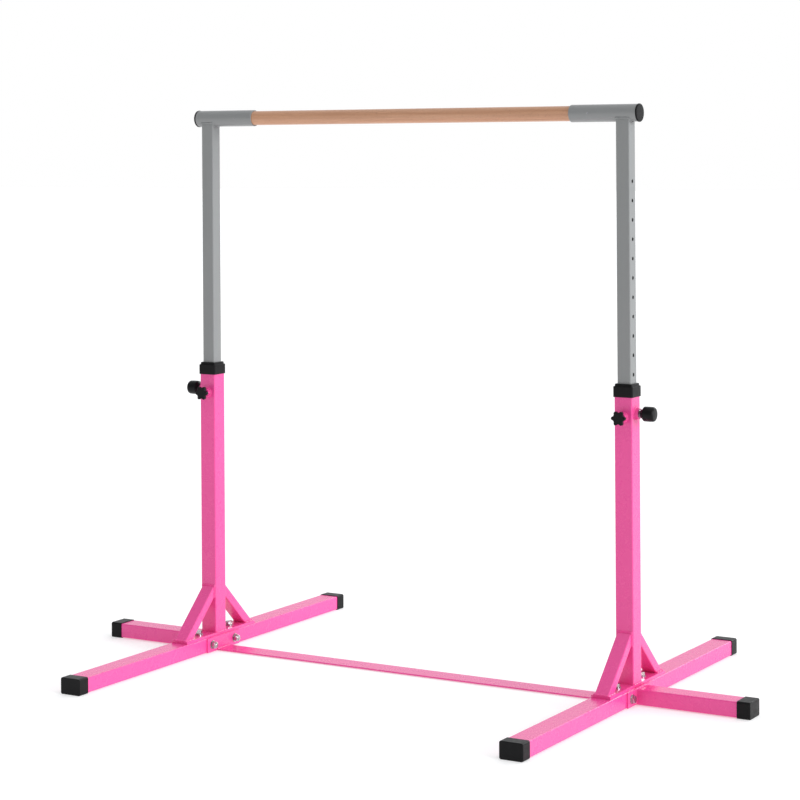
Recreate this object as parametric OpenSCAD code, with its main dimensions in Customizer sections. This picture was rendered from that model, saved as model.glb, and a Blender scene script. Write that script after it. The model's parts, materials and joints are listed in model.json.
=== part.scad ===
// Height-adjustable horizontal training bar: a wooden bar on two telescopic
// posts, each standing on a braced floor leg with an outward stabiliser.
// The origin is on the floor, midway between the uprights. +X runs along the
// bar, the clamp knobs face -Y, and +Z is up.

/* [Stand] */
// Distance between the centre lines of the two uprights
spacing = 1312; // [1100:4:1500]
// Length of each floor leg tube, front to back
leg_len = 1300; // [1000:10:1500]
// Width of the leg and stabiliser tubes
leg_w = 60; // [58:1:70]
// Height of the leg and stabiliser tubes
leg_h = 40; // [38:1:50]
// Distance from the upright's centre line to the tip of the stabiliser
stabiliser_reach = 347; // [250:1:450]
// Side of the square upright tube
upright_w = 50; // [50:1:52]
// Height of the top of the upright tube
upright_top = 814; // [800:1:830]
// Wall of every square and rectangular steel tube
tube_wall = 1.5; // [1.2:0.1:1.8]
// Thickness of the plates bolted to the leg's sides and of the crossbar strip
plate_t = 4; // [3:0.5:5]
// Thickness of the base plate under the upright
base_plate_t = 8; // [6:0.5:8]
// Height at which a brace's outer face meets the upright
brace_top = 184; // [150:1:220]
// Distance from the upright's centre line to the outer edge of a brace's foot
brace_foot = 165; // [140:1:167]
// Width of the flat brace tube
brace_w = 40; // [30:1:48]
// Thickness of the flat brace tube
brace_t = 25; // [15:1:30]

/* [Bar and posts] */
// Height of the bar's centre line at the highest setting
bar_height = 1524; // [1500:1:1560]
// Diameter of the wooden bar
bar_d = 40; // [34:1:40]
// Length of wooden bar held inside each socket
bar_grip = 110; // [60:1:115]
// Outside diameter of the socket tubes
socket_d = 46; // [44:1:48]
// Distance from the post's centre line in to the socket's mouth
socket_in = 154; // [140:1:180]
// Distance from the post's centre line out to the socket's closed end
socket_out = 38; // [30:1:60]
// Side of the square sliding post
post_w = 38; // [37:0.5:38]
// Height of the locking pin and of the post's lowest hole at rest
pin_height = 747; // [745:1:749]
// Distance between two neighbouring holes
hole_pitch = 50; // [40:1:50]
// Number of holes down the outer face of each post
hole_count = 13; // [5:1:13]
// Diameter of those holes
hole_d = 10; // [10:0.1:11]

/* [Locks] */
// Diameter of the locking pin's nose
pin_d = 9.6; // [9:0.1:9.8]
// Diameter of the pull knob's head
pull_knob_d = 39; // [30:1:44]
// Length of the pull knob's head
pull_knob_len = 30.5; // [28:0.5:45]
// Height of the clamp screw on the front of the upright
clamp_height = 738; // [730:1:745]
// Distance across the star knob's lobes
star_d = 40; // [34:1:50]
// Thickness of the star knob's head
star_t = 10; // [8:1:14]

/* [Hidden] */
SIDES = ["left", "right"];
SIDE_PARTS = [
    "leg", "front_leg_cap", "rear_leg_cap", "upright", "base_plate",
    "front_brace", "rear_brace", "pin_boss", "clamp_boss", "pin_barrel",
    "pin_spring", "collar", "stabiliser", "stabiliser_plate", "stabiliser_cap",
    "crossbar_plate", "foot_bolts", "side_bolts", "nuts", "washers",
    "post", "post_guide", "socket", "socket_cap",
    "lock_pin", "pull_knob", "clamp_screw", "star_knob"
];

pink = [0.91, 0.33, 0.6];
grey = [0.6, 0.61, 0.62];
black = [0.08, 0.08, 0.09];
zinc = [0.78, 0.79, 0.82];
beech = [0.76, 0.57, 0.42];

round_fn = 48;              // Segments of a circle
tube_r = 3;                 // Outer corner radius of the square tubes
cap_wall = 2;               // Wall of the end caps; the legs stand this far off the floor
cap_end = 4;                // Thickness of an end cap's closed end
cap_len = 36;               // Length of an end cap
cap_r = 5;                  // Corner radius of an end cap
cap_gap = 0.1;              // Gap between an end cap and its tube

leg_z = cap_wall + leg_h / 2;           // Height of the leg's centre line
leg_top = cap_wall + leg_h;
deck_z = leg_top + base_plate_t;        // Top of the base plate
base_plate_w = 54;
base_plate_len = 336;

side_plate_len = 156;                   // Plates bolted to the leg's two sides
side_plate_x = leg_w / 2 + plate_t;     // Outer face of such a plate
side_bolt_y = 55;
foot_bolt_y = 75;
crossbar_w = 63;

bolt_d = 12;
bolt_hole_d = 13;
hex_af = 18;
head_h = 7.5;
nut_h = 12;
weld_nut_h = 10;
nut_bore_d = 12.2;
washer_d = 24;
washer_t = 2.5;
spring_washer_d = 21;
spring_washer_t = 3;
washer_gap = 0.05;                      // Keeps stacked washers separate solids
thread_stub = 3;                        // Thread showing past a nut

collar_w = 56;
collar_r = 5;
collar_z = 789.5;                       // Lower edge of the collar's band
collar_band_h = 28;
collar_lip_w = 50;
collar_lip_h = 6.5;
collar_sleeve_z = 770;                  // Lower edge of the sleeve inside the upright
post_gap = 0.3;                         // Gap each side of the sliding post

post_tail = 57;                         // Post below its lowest hole
post_bottom = pin_height - post_tail;
guide_t = 6;                            // Plastic guide under the post
guide_spigot = 20;

socket_bore_d = bar_d + 0.8;
socket_cap_d = socket_d + 2;
socket_cap_t = 5;
socket_cap_spigot = 15;
screw_from_mouth = 56;
screw_d = 4.8;
screw_head_d = 9;
screw_head_h = 3;
screw_len = 20;
screw_tip = socket_d / 2 - screw_len;   // Depth of the screw's tip from the bar's axis

upright_face = upright_w / 2;
upright_inside = upright_face - tube_wall;
post_face = post_w / 2;

boss_d = 28;
boss_len = 11;
weld_leg = 3;                           // Size of a weld fillet round a boss
barrel_d = 18;
barrel_bore_d = 14;
barrel_start = upright_inside - 1;
barrel_out = 4.5;                       // Barrel showing past its boss
barrel_end = upright_face + boss_len + barrel_out;
barrel_wall = 2.5;
stem_d = 6;
shoulder_d = barrel_bore_d - 0.2;
shoulder_t = 4;
nose_len = 7.5;
pin_tip = post_face + 0.5;              // Nose of the withdrawn pin, clear of the post
pin_travel_in = 4.5;
shoulder_end = pin_tip + nose_len + shoulder_t;
spring_seat = barrel_end - barrel_wall;
spring_wire = 0.9;
spring_r = 5.3;
spring_turns = 4;

knob_start = barrel_end + 0.5;
knob_neck_d = 23.5;
knob_neck_len = 2.5;
knob_cone_len = 5.7;
knob_edge_r = 6;
knob_bore_d = barrel_d + 0.8;
knob_bore_end = barrel_end + pin_travel_in + 0.3;
stem_end = knob_start + 28;
knob_end = knob_start + knob_neck_len + knob_cone_len + pull_knob_len;

stud_d = 8;
stud_gap = 0.3;                         // Gap between the slack screw and the post
clamp_boss_d = 22;
clamp_boss_len = 10;
star_hub_d = 16;
star_hub_len = 5;
star_back = upright_face + 23;          // Rear face of the star head
stud_end = star_back + 5.5;
lobe_r = 4.8;
star_core_r = 14.8;

// ---------- Helpers ----------

// Carries a part drawn for the right-hand side to the named side
module on_side(side) {
    out = side == "left" ? -1 : 1;
    translate([out * spacing / 2, 0, 0])
        mirror([out < 0 ? 1 : 0, 0, 0]) children();
}

module rounded_rect(w, h, r) {
    square([w - 2 * r, h], center = true);
    square([w, h - 2 * r], center = true);
    for (x = [-1, 1], y = [-1, 1])
        translate([x * (w / 2 - r), y * (h / 2 - r)]) circle(r, $fn = round_fn);
}

module tube(w, h, len) {
    linear_extrude(len) difference() {
        rounded_rect(w, h, tube_r);
        rounded_rect(w - 2 * tube_wall, h - 2 * tube_wall, tube_r - tube_wall);
    }
}

module disc(d, h) { cylinder(d = d, h = h, $fn = round_fn); }

module hexagon(af, h) { cylinder(r = af / 2 / cos(30), h = h, $fn = 6); }

// Turns an upright shape so that its own Z runs outwards (+X) or forwards (-Y)
module outwards() { rotate([90, 0, 90]) children(); }
module forwards() { rotate([90, 0, 0]) children(); }

module ring(outer_d, inner_d, h, z = 0) {
    translate([0, 0, z]) difference() {
        disc(outer_d, h);
        translate([0, 0, -1]) disc(inner_d, h + 2);
    }
}

// ---------- Stand ----------

module leg() {
    color(pink) difference() {
        translate([0, leg_len / 2, leg_z]) forwards() tube(leg_w, leg_h, leg_len);
        for (y = [-foot_bolt_y, foot_bolt_y])
            translate([0, y, leg_z]) disc(bolt_hole_d, leg_h);
        for (y = [-side_bolt_y, side_bolt_y])
            translate([-leg_w, y, leg_z]) outwards() disc(bolt_hole_d, 2 * leg_w);
    }
}

// Cap over a tube's end: drawn with its closed end at z = 0, facing down
module end_cap() {
    color(black) difference() {
        linear_extrude(cap_len)
            rounded_rect(leg_w + 2 * cap_wall, leg_h + 2 * cap_wall, cap_r);
        translate([0, 0, cap_end]) linear_extrude(cap_len)
            rounded_rect(leg_w + 2 * cap_gap, leg_h + 2 * cap_gap, tube_r);
    }
}

module front_leg_cap() {
    translate([0, -leg_len / 2 - cap_end, leg_z]) rotate([-90, 0, 0]) end_cap();
}

module rear_leg_cap() { mirror([0, 1, 0]) front_leg_cap(); }

module stabiliser_cap() {
    translate([stabiliser_reach, 0, leg_z]) rotate([0, 0, 90])
        rotate([-90, 0, 0]) end_cap();
}

module upright() {
    color(pink) difference() {
        translate([0, 0, deck_z]) tube(upright_w, upright_w, upright_top - deck_z);
        translate([0, 0, pin_height]) outwards() disc(barrel_d + 0.2, upright_w);
        translate([0, 0, clamp_height]) forwards() disc(stud_d + 1, upright_w);
    }
}

module base_plate() {
    color(pink) difference() {
        translate([-base_plate_w / 2, -base_plate_len / 2, leg_top])
            cube([base_plate_w, base_plate_len, base_plate_t]);
        for (y = [-foot_bolt_y, foot_bolt_y])
            translate([0, y, leg_top - 1]) disc(bolt_hole_d, base_plate_t + 2);
    }
}

module front_brace() {
    lean = atan2(brace_top - deck_z, brace_foot - upright_face);
    long = brace_foot + brace_top;
    color(pink) intersection() {
        translate([0, -brace_foot, deck_z]) rotate([lean - 90, 0, 0])
            translate([0, brace_t / 2, -brace_t * 2]) tube(brace_w, brace_t, long);
        translate([-brace_w, -long, deck_z])
            cube([2 * brace_w, long - upright_face, long]);
    }
}

module rear_brace() { mirror([0, 1, 0]) front_brace(); }

// Welded boss: a ring with a weld fillet at its foot
module boss(outer_d, bore_d, len) {
    color(pink) rotate_extrude($fn = round_fn) polygon([
        [bore_d / 2, 0],
        [outer_d / 2 + weld_leg, 0],
        [outer_d / 2, weld_leg],
        [outer_d / 2, len],
        [bore_d / 2, len]
    ]);
}

module pin_boss() {
    translate([upright_face, 0, pin_height])
        outwards() boss(boss_d, barrel_d + 0.2, boss_len);
}

module clamp_boss() {
    translate([0, -upright_face, clamp_height])
        forwards() boss(clamp_boss_d, stud_d + 0.2, clamp_boss_len);
}

module pin_barrel() {
    color(zinc) translate([barrel_start, 0, pin_height]) outwards() difference() {
        disc(barrel_d, barrel_end - barrel_start);
        translate([0, 0, -1]) disc(barrel_bore_d, spring_seat - barrel_start + 1);
        disc(stem_d + 0.2, barrel_end);
    }
}

// Point on a coil of radius r that climbs from 0 to height over its turns
function coil_point(r, height, turns, t) =
    [r * cos(360 * turns * t), r * sin(360 * turns * t), height * t];

// Closed wire of round section wound into a coil
module coil(r, height, turns, wire_d, steps, sides) {
    ring_points = [
        for (i = [0:steps]) let (
            t = i / steps,
            centre = coil_point(r, height, turns, t),
            a = 360 * turns * t
        ) for (j = [0:sides - 1]) let (
            b = 360 * j / sides,
            across = wire_d / 2 * cos(b)
        ) centre + [across * cos(a), across * sin(a), wire_d / 2 * sin(b)]
    ];
    walls = [
        for (i = [0:steps - 1], j = [0:sides - 1]) let (
            k = (j + 1) % sides,
            low = i * sides,
            high = low + sides
        ) [low + j, high + j, high + k, low + k]
    ];
    first = [for (j = [0:sides - 1]) j];
    last = [for (j = [sides - 1:-1:0]) steps * sides + j];
    polyhedron(ring_points, concat(walls, [first, last]), convexity = 10);
}

module pin_spring() {
    free = spring_seat - shoulder_end - spring_wire;
    color(zinc) translate([shoulder_end + spring_wire / 2, 0, pin_height])
        outwards() coil(spring_r, free, spring_turns, spring_wire, 64, 6);
}

module collar() {
    band_top = collar_z + collar_band_h;
    opening = post_w + 2 * post_gap;
    color(black) difference() {
        union() {
            translate([0, 0, collar_z]) linear_extrude(collar_band_h)
                rounded_rect(collar_w, collar_w, collar_r);
            translate([0, 0, band_top]) linear_extrude(collar_lip_h)
                rounded_rect(collar_lip_w, collar_lip_w, collar_r);
        }
        translate([0, 0, collar_z - 1]) linear_extrude(upright_top - collar_z + 1)
            rounded_rect(upright_w + 2 * cap_gap, upright_w + 2 * cap_gap, tube_r);
        translate([0, 0, collar_z - 1]) linear_extrude(collar_w)
            rounded_rect(opening, opening, tube_r);
    }
    color(black) translate([0, 0, collar_sleeve_z])
        linear_extrude(upright_top - collar_sleeve_z) difference() {
            rounded_rect(2 * upright_inside - 0.2, 2 * upright_inside - 0.2, 1.5);
            rounded_rect(opening, opening, tube_r);
        }
}

module stabiliser() {
    color(pink) translate([side_plate_x, 0, leg_z]) outwards()
        tube(leg_w, leg_h, stabiliser_reach - cap_end - side_plate_x);
}

// Plate bolted to a side of the leg; x is its inner face
module side_plate(x) {
    color(pink) difference() {
        translate([x, -side_plate_len / 2, cap_wall])
            cube([plate_t, side_plate_len, leg_h]);
        for (y = [-side_bolt_y, side_bolt_y])
            translate([x - 1, y, leg_z]) outwards() disc(bolt_hole_d, plate_t + 2);
    }
}

module stabiliser_plate() { side_plate(leg_w / 2); }

module crossbar_plate() { side_plate(-side_plate_x); }

module crossbar() {
    half = spacing / 2 - side_plate_x;
    color(pink) translate([-half, -crossbar_w / 2, cap_wall])
        cube([2 * half, crossbar_w, plate_t]);
}

// ---------- Fasteners ----------

// Hexagon bolt standing on its shank's end: the head's underside is at z = len
module hex_bolt(len) {
    color(zinc) {
        disc(bolt_d, len);
        translate([0, 0, len]) hexagon(hex_af, head_h);
    }
}

module nut(h) {
    color(zinc) difference() {
        hexagon(hex_af, h);
        translate([0, 0, -1]) disc(nut_bore_d, h + 2);
    }
}

module foot_bolts() {
    seat = deck_z + washer_t + washer_gap + spring_washer_t;
    len = seat - (leg_top - tube_wall - weld_nut_h) + thread_stub / 2;
    for (y = [-foot_bolt_y, foot_bolt_y])
        translate([0, y, seat - len]) hex_bolt(len);
}

module side_bolts() {
    seat = side_plate_x + washer_t;
    len = 2 * seat + nut_h + thread_stub;
    for (y = [-side_bolt_y, side_bolt_y])
        translate([seat - len, y, leg_z]) outwards() hex_bolt(len);
}

module nuts() {
    for (y = [-foot_bolt_y, foot_bolt_y])
        translate([0, y, leg_top - tube_wall - weld_nut_h]) nut(weld_nut_h);
    for (y = [-side_bolt_y, side_bolt_y])
        translate([-side_plate_x - washer_t - nut_h, y, leg_z]) outwards() nut(nut_h);
}

module washers() {
    color(zinc) {
        for (y = [-foot_bolt_y, foot_bolt_y]) translate([0, y, deck_z]) {
            ring(washer_d, bolt_hole_d, washer_t);
            ring(spring_washer_d, bolt_hole_d, spring_washer_t, washer_t + washer_gap);
        }
        for (y = [-side_bolt_y, side_bolt_y], x = [-side_plate_x - washer_t, side_plate_x])
            translate([x, y, leg_z]) outwards() ring(washer_d, bolt_hole_d, washer_t);
    }
}

// ---------- Bar frame ----------

module post() {
    color(grey) difference() {
        translate([0, 0, post_bottom]) tube(post_w, post_w, bar_height - post_bottom);
        translate([-spacing / 4, 0, bar_height]) outwards() disc(socket_d, spacing / 2);
        for (i = [0:hole_count - 1])
            translate([0, 0, pin_height + i * hole_pitch])
                outwards() disc(hole_d, post_w);
    }
}

module post_guide() {
    inside = 2 * upright_inside - 2 * post_gap;
    spigot = post_w - 2 * tube_wall - 0.2;
    color(black) {
        translate([0, 0, post_bottom - guide_t]) linear_extrude(guide_t)
            rounded_rect(inside, inside, 2);
        translate([0, 0, post_bottom]) linear_extrude(guide_spigot) difference() {
            rounded_rect(spigot, spigot, tube_r - tube_wall);
            rounded_rect(spigot - 6, spigot - 6, 1);
        }
    }
}

module socket() {
    color(grey) difference() {
        translate([-socket_in, 0, bar_height]) outwards()
            ring(socket_d, socket_bore_d, socket_in + socket_out);
        translate([screw_from_mouth - socket_in, 0, bar_height])
            forwards() disc(screw_d + 0.4, socket_d);
    }
}

module socket_cap() {
    color(black) translate([socket_out, 0, bar_height]) outwards() {
        rotate_extrude($fn = round_fn) polygon([
            [0, 0],
            [socket_cap_d / 2, 0],
            [socket_cap_d / 2, socket_cap_t - 2],
            [socket_cap_d / 2 - 2, socket_cap_t - 0.6],
            [0, socket_cap_t]
        ]);
        ring(socket_bore_d - 0.4, socket_bore_d - 6, socket_cap_spigot, -socket_cap_spigot);
    }
}

// Position of a bar screw's axis along the bar
function screw_x(out) = out * (spacing / 2 - socket_in + screw_from_mouth);

module wooden_bar() {
    half = spacing / 2 - socket_in + bar_grip;
    color(beech) difference() {
        translate([-half, 0, bar_height]) outwards() disc(bar_d, 2 * half);
        for (out = [-1, 1])
            translate([screw_x(out), 0, bar_height]) forwards()
                translate([0, 0, screw_tip]) disc(screw_d + 0.2, screw_len);
    }
}

module bar_screws() {
    color(zinc) for (out = [-1, 1])
        translate([screw_x(out), -socket_d / 2, bar_height]) forwards() {
            translate([0, 0, screw_tip + 0.5 - socket_d / 2])
                disc(screw_d, screw_len - 0.5);
            rotate_extrude($fn = round_fn) polygon([
                [0, 0],
                [screw_head_d / 2, 0],
                [screw_head_d / 2, screw_head_h / 2],
                [screw_head_d / 3, screw_head_h],
                [0, screw_head_h]
            ]);
        }
}

// ---------- Locks ----------

module lock_pin() {
    color(zinc) translate([0, 0, pin_height]) outwards() {
        translate([0, 0, pin_tip]) disc(pin_d, nose_len);
        translate([0, 0, pin_tip + nose_len]) disc(shoulder_d, shoulder_t);
        translate([0, 0, shoulder_end]) disc(stem_d, stem_end - shoulder_end);
    }
}

module pull_knob() {
    r = pull_knob_d / 2;
    neck_end = knob_start + knob_neck_len;
    head_start = neck_end + knob_cone_len;
    color(black) translate([0, 0, pin_height]) outwards() difference() {
        rotate_extrude($fn = round_fn) {
            polygon([
                [0, knob_start],
                [knob_neck_d / 2, knob_start],
                [knob_neck_d / 2, neck_end],
                [r, head_start],
                [r, knob_end - knob_edge_r],
                [r - knob_edge_r, knob_end - knob_edge_r],
                [r - knob_edge_r, knob_end],
                [0, knob_end]
            ]);
            intersection() {
                translate([r - knob_edge_r, knob_end - knob_edge_r])
                    circle(knob_edge_r, $fn = round_fn);
                translate([r - knob_edge_r, knob_end - knob_edge_r])
                    square(knob_edge_r);
            }
        }
        disc(knob_bore_d, knob_bore_end);
        disc(stem_d + 0.1, stem_end);
    }
}

module clamp_screw() {
    tip = post_face + stud_gap;
    color(zinc) translate([0, 0, clamp_height]) forwards()
        translate([0, 0, tip]) disc(stud_d, stud_end - tip);
}

module star_knob() {
    color(black) translate([0, 0, clamp_height]) forwards() difference() {
        union() {
            translate([0, 0, star_back]) linear_extrude(star_t) {
                circle(star_core_r, $fn = round_fn);
                for (a = [0:60:300]) rotate(a)
                    translate([star_d / 2 - lobe_r, 0]) circle(lobe_r, $fn = round_fn);
            }
            translate([0, 0, star_back - star_hub_len]) disc(star_hub_d, star_hub_len);
        }
        translate([0, 0, star_back - star_hub_len - 1])
            disc(stud_d + 0.1, stud_end - star_back + star_hub_len + 1.4);
    }
}

// ---------- Assembly ----------

for (s = SIDES) on_side(s) {
    leg();
    front_leg_cap();
    rear_leg_cap();
    upright();
    base_plate();
    front_brace();
    rear_brace();
    pin_boss();
    clamp_boss();
    pin_barrel();
    pin_spring();
    collar();
    stabiliser();
    stabiliser_plate();
    stabiliser_cap();
    crossbar_plate();
    foot_bolts();
    side_bolts();
    nuts();
    washers();
    post();
    post_guide();
    socket();
    socket_cap();
    lock_pin();
    pull_knob();
    clamp_screw();
    star_knob();
}
crossbar();
wooden_bar();
bar_screws();
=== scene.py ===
"""Finished look of a height-adjustable training bar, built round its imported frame.

Laid out as a Blender add-on and run as a script. Lengths are metres; MM turns millimetres into them.
"""

import json
from math import atan2, cos, pi, radians, sin, sqrt, tan

import bmesh
import bpy
from bpy.props import FloatProperty, FloatVectorProperty, IntProperty, PointerProperty
from mathutils import Matrix, Vector

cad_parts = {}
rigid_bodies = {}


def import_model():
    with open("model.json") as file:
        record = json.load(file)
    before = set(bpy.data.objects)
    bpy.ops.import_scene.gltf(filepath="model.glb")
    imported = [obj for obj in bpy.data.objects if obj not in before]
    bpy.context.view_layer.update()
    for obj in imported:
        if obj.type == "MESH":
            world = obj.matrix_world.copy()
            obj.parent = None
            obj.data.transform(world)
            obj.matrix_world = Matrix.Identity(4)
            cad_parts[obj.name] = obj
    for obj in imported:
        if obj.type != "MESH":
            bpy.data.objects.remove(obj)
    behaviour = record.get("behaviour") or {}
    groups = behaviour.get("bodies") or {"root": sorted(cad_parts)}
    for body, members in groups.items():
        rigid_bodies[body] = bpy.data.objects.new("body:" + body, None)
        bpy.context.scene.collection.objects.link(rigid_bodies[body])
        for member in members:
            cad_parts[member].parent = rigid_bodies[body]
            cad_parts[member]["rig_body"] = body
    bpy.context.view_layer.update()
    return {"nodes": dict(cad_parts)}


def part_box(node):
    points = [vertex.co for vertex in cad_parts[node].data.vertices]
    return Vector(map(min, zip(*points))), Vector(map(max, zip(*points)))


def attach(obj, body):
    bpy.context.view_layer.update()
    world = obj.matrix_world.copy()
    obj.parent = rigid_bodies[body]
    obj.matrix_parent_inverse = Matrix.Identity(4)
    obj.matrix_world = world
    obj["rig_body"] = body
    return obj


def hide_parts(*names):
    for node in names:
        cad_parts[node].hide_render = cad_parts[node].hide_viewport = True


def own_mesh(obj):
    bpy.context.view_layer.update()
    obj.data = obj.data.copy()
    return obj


bl_info = {
    "name": "Training Bar",
    "version": (1, 0, 0),
    "blender": (4, 5, 0),
    "location": "3D View > Sidebar > Training Bar",
    "description": "Builds the finished look of an adjustable training bar round its frame",
    "category": "Object",
}

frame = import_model()
SLOT_OF = {name: node.data.materials[0].name for name, node in frame["nodes"].items()}
FINISHES = {
    "pink_powder_coat": "Pink powder coat",
    "grey_powder_coat": "Grey powder coat",
    "black_plastic": "Black moulded plastic",
    "knob_plastic": "Black knob plastic",
    "zinc_steel": "Zinc-plated steel",
    "beech": "Varnished beech",
}

MM = 0.001
TUBE_WALL = 1.5 * MM
TUBE_CORNER = 3 * MM        # Outer corner radius of the steel tubes
MERGE = 0.001 * MM          # Points closer than this are one point
FLAT = 0.01 * MM            # Points this close to a plane lie in it
THREAD_DEPTH = 0.55         # Depth of a screw thread, as a share of its pitch
SMOOTH_BELOW = 38           # Edges flatter than this many degrees are shaded smooth
SIDES = {"left": -1, "right": 1}
UP = Vector((0, 0, 1))
FORWARDS = Vector((0, -1, 0))
RIGHT = Vector((1, 0, 0))


# ---------- Sizes and colours a user may change ----------


class TrainingBarFinishes(bpy.types.PropertyGroup):
    """Colours and gloss of the finishes."""

    pink: FloatVectorProperty(
        name="Pink", description="Colour of the painted stand",
        size=3, subtype="COLOR", min=0, max=1, default=(0.9, 0.078, 0.345))
    grey: FloatVectorProperty(
        name="Grey", description="Colour of the sliding posts and sockets",
        size=3, subtype="COLOR", min=0, max=1, default=(0.255, 0.262, 0.262))
    black: FloatVectorProperty(
        name="Black", description="Colour of the caps, collars and knobs",
        size=3, subtype="COLOR", min=0, max=1, default=(0.004, 0.004, 0.0045))
    zinc: FloatVectorProperty(
        name="Zinc", description="Colour of the plated screws and nuts",
        size=3, subtype="COLOR", min=0, max=1, default=(0.5, 0.51, 0.57))
    pale_wood: FloatVectorProperty(
        name="Pale wood", description="Colour of the bar between its streaks",
        size=3, subtype="COLOR", min=0, max=1, default=(0.66, 0.365, 0.22))
    dark_wood: FloatVectorProperty(
        name="Dark wood", description="Colour of the bar's streaks and flecks",
        size=3, subtype="COLOR", min=0, max=1, default=(0.455, 0.215, 0.115))
    paint_roughness: FloatProperty(
        name="Paint roughness", description="Mean roughness of the powder coat",
        subtype="FACTOR", min=0, max=1, default=0.27)


class TrainingBarDetails(bpy.types.PropertyGroup):
    """Sizes of the small shapes that the frame leaves plain."""

    plate_edge: FloatProperty(
        name="Plate edge", description="Rounding of the steel plates' edges",
        unit="LENGTH", min=0.1 * MM, max=1.5 * MM, default=0.6 * MM)
    hole_edge: FloatProperty(
        name="Hole edge", description="Rounding of the edges of the posts' holes",
        unit="LENGTH", min=0.1 * MM, max=0.8 * MM, default=0.35 * MM)
    bead: FloatProperty(
        name="Weld bead", description="Radius of the weld beads",
        unit="LENGTH", min=1 * MM, max=4 * MM, default=3.1 * MM)
    bead_ripple: FloatProperty(
        name="Weld ripple", description="Distance between two ripples of a weld bead",
        unit="LENGTH", min=1 * MM, max=6 * MM, default=3.2 * MM)
    cap_edge: FloatProperty(
        name="Cap edge", description="Rounding of the end caps' closed edges",
        unit="LENGTH", min=1 * MM, max=6 * MM, default=2.2 * MM)
    star_lobes: IntProperty(
        name="Star lobes", description="Number of lobes on the clamp knob",
        min=3, max=8, default=6)
    turning_steps: IntProperty(
        name="Turning steps", description="Facets round a turned part",
        min=16, max=128, default=64)


class TrainingBarStage(bpy.types.PropertyGroup):
    """Camera and light."""

    camera_place: FloatVectorProperty(
        name="Camera", description="Where the camera stands",
        size=3, subtype="TRANSLATION", unit="LENGTH", default=(3.1523, -5.3602, 1.4397))
    camera_turn: FloatProperty(
        name="Camera turn", description="Turn of the camera from facing along +Y",
        subtype="ANGLE", default=radians(30.637))
    camera_roll: FloatProperty(
        name="Camera roll", description="Clockwise roll of the camera",
        subtype="ANGLE", default=radians(0.363))
    lens: FloatProperty(
        name="Lens", description="Focal length on a 36 mm wide sensor", min=10, max=300,
        default=102.28)
    rise: FloatProperty(
        name="Lens shift", description="Upward shift of the lens, in picture widths",
        min=-1, max=1, default=-0.3165)
    floor: FloatVectorProperty(
        name="Floor", description="Colour of the floor",
        size=3, subtype="COLOR", min=0, max=1, default=(0.75, 0.75, 0.75))


# ---------- Places ----------


def middle(node):
    """Middle of a CAD node's box."""
    low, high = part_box(node)
    return (low + high) / 2


def corners_at(node, axis, height):
    """Lowest and highest corner of the part of a CAD node that lies in one plane across an axis."""
    flat = [v.co for v in frame["nodes"][node].data.vertices if abs(v.co[axis] - height) < FLAT]
    low = Vector([min(p[i] for p in flat) for i in range(3)])
    high = Vector([max(p[i] for p in flat) for i in range(3)])
    return low, high


def standing(start, direction=UP):
    """Matrix that carries a shape drawn up the Z axis to start, pointing along direction."""
    turn = UP.rotation_difference(Vector(direction)).to_matrix().to_4x4()
    return Matrix.Translation(start) @ turn


def along_x(node, sign):
    """Inner end of a round part that lies along the bar, the part's length and its radius."""
    low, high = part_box(node)
    start = Vector((low.x if sign > 0 else high.x, 0, (low.z + high.z) / 2))
    return start, high.x - low.x, (high.z - low.z) / 2


# ---------- Mesh helpers ----------


def arc(centre, radius, start, end, steps):
    """Points of an arc of (radius, height) points, from one angle to another in degrees."""
    return [
        (
            centre[0] + radius * cos(radians(start + (end - start) * i / steps)),
            centre[1] + radius * sin(radians(start + (end - start) * i / steps)),
        )
        for i in range(steps + 1)
    ]


def turned(outline, closed=False, steps=None):
    """Shape turned about the Z axis from an outline of (radius, height) points."""
    steps = steps or bpy.context.scene.training_bar_details.turning_steps
    bm = bmesh.new()
    points = [bm.verts.new((radius, 0, height)) for radius, height in outline]
    edges = [bm.edges.new(pair) for pair in zip(points, points[1:])]
    if closed:
        edges.append(bm.edges.new((points[-1], points[0])))
    bmesh.ops.spin(
        bm, geom=points + edges, cent=(0, 0, 0), axis=UP, dvec=(0, 0, 0), angle=2 * pi,
        steps=steps, use_merge=True, use_normal_flip=False, use_duplicate=False)
    bmesh.ops.remove_doubles(bm, verts=bm.verts, dist=MERGE)
    bmesh.ops.recalc_face_normals(bm, faces=bm.faces)
    return bm


def ring(outer, inner, height, edge=0.2 * MM):
    """Flat ring of two radii standing on the XY plane, with its edges eased."""
    bm = turned([(inner, 0), (outer, 0), (outer, height), (inner, height)], closed=True)
    ease(bm, edge, 1)
    return bm


def prism(width, depth, corner, height):
    """Block with rounded upright edges standing on the XY plane."""
    bm = bmesh.new()
    bmesh.ops.create_grid(bm, x_segments=1, y_segments=1, size=0.5)
    bmesh.ops.scale(bm, vec=(width, depth, 1), verts=bm.verts)
    bmesh.ops.bevel(
        bm, geom=bm.verts[:], offset=corner, offset_type="OFFSET", segments=8, profile=0.5,
        affect="VERTICES", material=-1)
    bmesh.ops.translate(bm, vec=(0, 0, height), verts=drawn_out(bm, bm.faces[:]))
    bmesh.ops.recalc_face_normals(bm, faces=bm.faces)
    return bm


def drawn_out(bm, faces):
    """Vertices at the far end of a region drawn out of the given faces."""
    made = bmesh.ops.extrude_face_region(bm, geom=faces)["geom"]
    return [v for v in made if isinstance(v, bmesh.types.BMVert)]


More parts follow.
